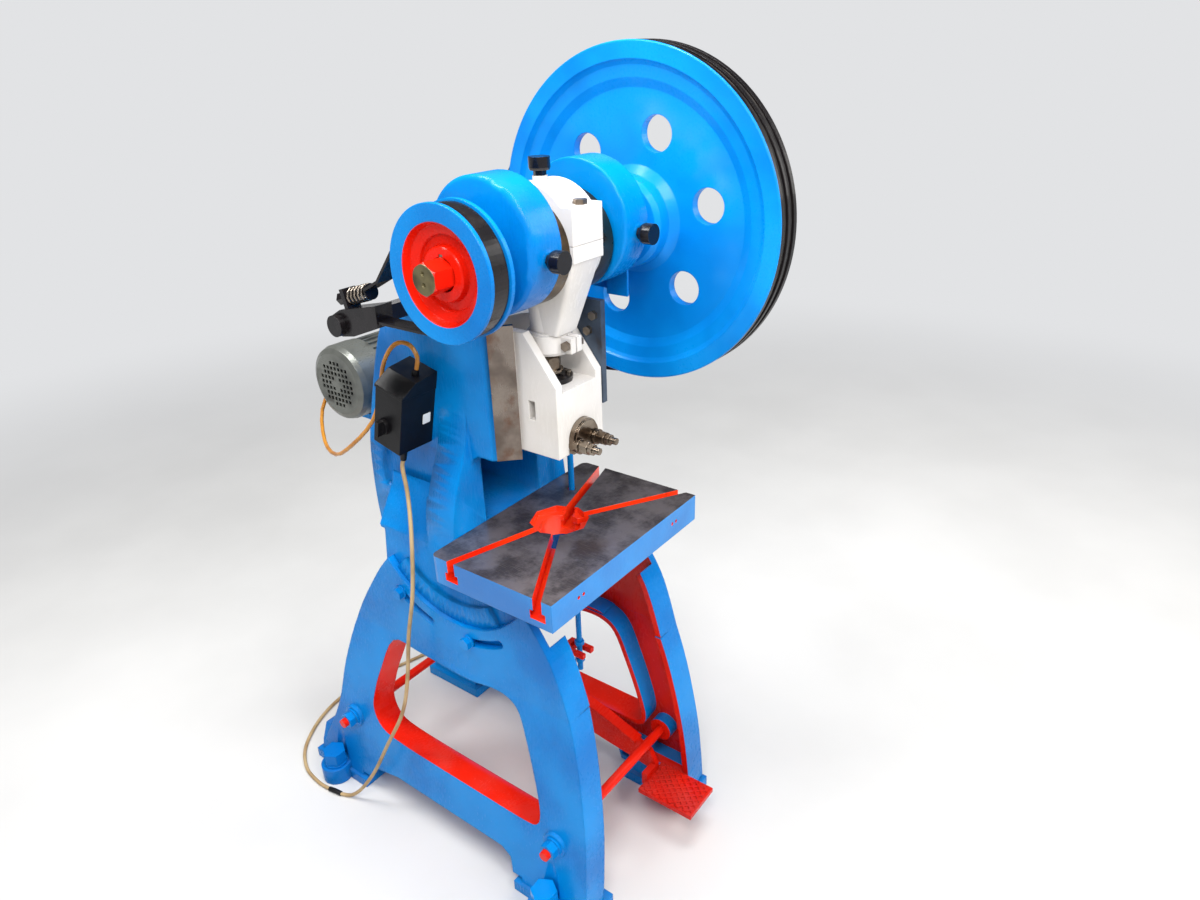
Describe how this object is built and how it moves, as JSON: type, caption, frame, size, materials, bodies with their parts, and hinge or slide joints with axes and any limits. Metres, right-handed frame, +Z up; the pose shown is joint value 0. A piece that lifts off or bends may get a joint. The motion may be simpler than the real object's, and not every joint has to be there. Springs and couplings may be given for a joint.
{
  "type": "mechanical stamping press",
  "caption": "Small inclinable eccentric press on a cast stand, with flywheel, drum brake, T-slotted table, motor with belt drive and foot pedal.",
  "frame": {"origin": "where the centre line of the ram meets the floor", "axes": "+X toward the flywheel, -Y toward the operator, +Z up"},
  "size_m": [0.7074, 1.0329, 1.542],
  "materials": {
    "frame_blue": "gloss enamel, hand brushed",
    "stand_blue": "gloss enamel, hand brushed",
    "red_paint": "gloss enamel",
    "white_paint": "gloss enamel",
    "black_paint": "satin",
    "guide_blue": "worn dark blue-grey",
    "table_iron": "machined, oiled, dark",
    "steel": "bare, oily",
    "guide_steel": "ground, oily",
    "bronze": "oiled",
    "black_plastic": "satin black",
    "motor_grey": "cast, dull",
    "belt_rubber": "matt",
    "cord_sheath": "matt beige",
    "lead_sheath": "amber"
  },
  "bodies": {
    "stand": {"left_leg": "stand_blue", "right_leg": "stand_blue", "front_tie_rod": "red_paint", "rear_tie_rod": "red_paint", "tie_rod_nuts": "stand_blue", "anchor_bolts": "stand_blue", "supply_cord": "cord_sheath", "cord_joint": "black_plastic", "cord_coil": "cord_sheath", "plug": "black_plastic"},
    "frame": {"press_frame": "frame_blue", "table_plate": "table_iron", "main_bushes": "bronze", "left_gib": "guide_steel", "right_gib": "guide_blue", "gib_bolts": "steel", "tilt_bolts": "stand_blue", "switch_box": "black_plastic", "switch_lid": "black_plastic", "box_glands": "black_plastic", "motor_body": "motor_grey", "fan_cover": "motor_grey", "terminal_box": "motor_grey", "motor_bracket": "frame_blue", "motor_lead": "lead_sheath", "v_belts": "belt_rubber", "brake_band": "black_paint", "brake_tension": "black_paint", "brake_spring": "black_paint", "left_cup_stem": "black_plastic", "right_cup_stem": "black_plastic", "trip_bracket": "frame_blue"},
    "switch_knob": {"switch_knob": "black_plastic"},
    "left_cup": {"left_cup_cap": "black_plastic"},
    "right_cup": {"right_cup_cap": "black_plastic"},
    "top_cup": {"top_cup_cap": "black_plastic"},
    "motor_pulley": {"motor_pulley": "black_paint"},
    "crankshaft": {"crankshaft": "steel", "brake_drum": "frame_blue", "drum_key": "steel", "clutch_sleeve": "frame_blue", "shaft_retainer": "black_paint"},
    "flywheel": {"flywheel": "frame_blue", "flywheel_bush": "bronze"},
    "conrod": {"conrod": "white_paint", "strap_cap": "white_paint", "strap_bolts": "steel", "clamp_bolt": "steel", "top_cup_stem": "black_plastic"},
    "ball_screw": {"ball_screw": "steel"},
    "ram": {"ram": "white_paint", "ball_retainer": "black_paint", "retainer_screws": "steel", "tool_clamp": "steel", "clamp_studs": "steel"},
    "pedal": {"pedal": "red_paint"},
    "pull_rod": {"pull_rod": "frame_blue", "pull_rod_nuts": "frame_blue"},
    "trip_lever": {"trip_lever": "frame_blue"}
  },
  "joints": [
    {"name": "body_tilt", "type": "hinge", "parent": "stand", "child": "frame", "pos_m": [0, 0.125, 0.776], "axis": [-1, 0, 0], "range_deg": [0, 15], "deforming": ["supply_cord"]},
    {"name": "crank_turn", "type": "hinge", "parent": "frame", "child": "crankshaft", "pos_m": [0, 0, 1.245], "axis": [1, 0, 0], "range_deg": [0, 90]},
    {"name": "rod_swing", "type": "hinge", "parent": "crankshaft", "child": "conrod", "pos_m": [0, 0, 1.2575], "axis": [1, 0, 0], "range_deg": [-90, 0]},
    {"name": "ram_slide", "type": "slide", "parent": "frame", "child": "ram", "axis": [0, 0, -1], "range_m": [0, 0.0125]},
    {"name": "screw_turn", "type": "hinge", "parent": "conrod", "child": "ball_screw", "pos_m": [0, 0, 1], "axis": [0, 0, 1], "continuous": true},
    {"name": "flywheel_turn", "type": "hinge", "parent": "frame", "child": "flywheel", "pos_m": [0.27, 0, 1.245], "axis": [1, 0, 0], "continuous": true},
    {"name": "motor_turn", "type": "hinge", "parent": "frame", "child": "motor_pulley", "pos_m": [0.27, 0.505, 0.93], "axis": [1, 0, 0], "continuous": true},
    {"name": "pedal_press", "type": "hinge", "parent": "stand", "child": "pedal", "pos_m": [0.12, 0.462, 0.186], "axis": [1, 0, 0], "range_deg": [0, 3], "stiffness_Nm_per_rad": 300, "springref_deg": -11.46},
    {"name": "pull_rod_slide", "type": "slide", "parent": "frame", "child": "pull_rod", "axis": [0, 0, -1], "range_m": [0, 0.022]},
    {"name": "trip_swing", "type": "hinge", "parent": "frame", "child": "trip_lever", "pos_m": [0.16, -0.034, 1.15], "axis": [-1, 0, 0], "range_deg": [0, 14]},
    {"name": "switch_turn", "type": "hinge", "parent": "frame", "child": "switch_knob", "pos_m": [-0.178, 0.24015, 0.93835], "axis": [1, 0, 0], "range_deg": [0, 90]},
    {"name": "left_cup_turn", "type": "hinge", "parent": "frame", "child": "left_cup", "pos_m": [-0.115, -0.12, 1.255], "axis": [0, -1, 0], "continuous": true},
    {"name": "right_cup_turn", "type": "hinge", "parent": "frame", "child": "right_cup", "pos_m": [0.115, -0.12, 1.255], "axis": [0, -1, 0], "continuous": true},
    {"name": "top_cup_turn", "type": "hinge", "parent": "conrod", "child": "top_cup", "pos_m": [0, 0, 1.36], "axis": [0, 0, 1], "continuous": true}
  ],
  "couplings": [
    {"joint": "rod_swing", "follows": "crank_turn", "ratio": -0.969},
    {"joint": "ram_slide", "follows": "crank_turn", "m_per_rad": 0.00783},
    {"joint": "motor_turn", "follows": "flywheel_turn", "ratio": 7.789},
    {"joint": "pull_rod_slide", "follows": "pedal_press", "m_per_rad": 0.404},
    {"joint": "trip_swing", "follows": "pedal_press", "ratio": 4.39}
  ]
}
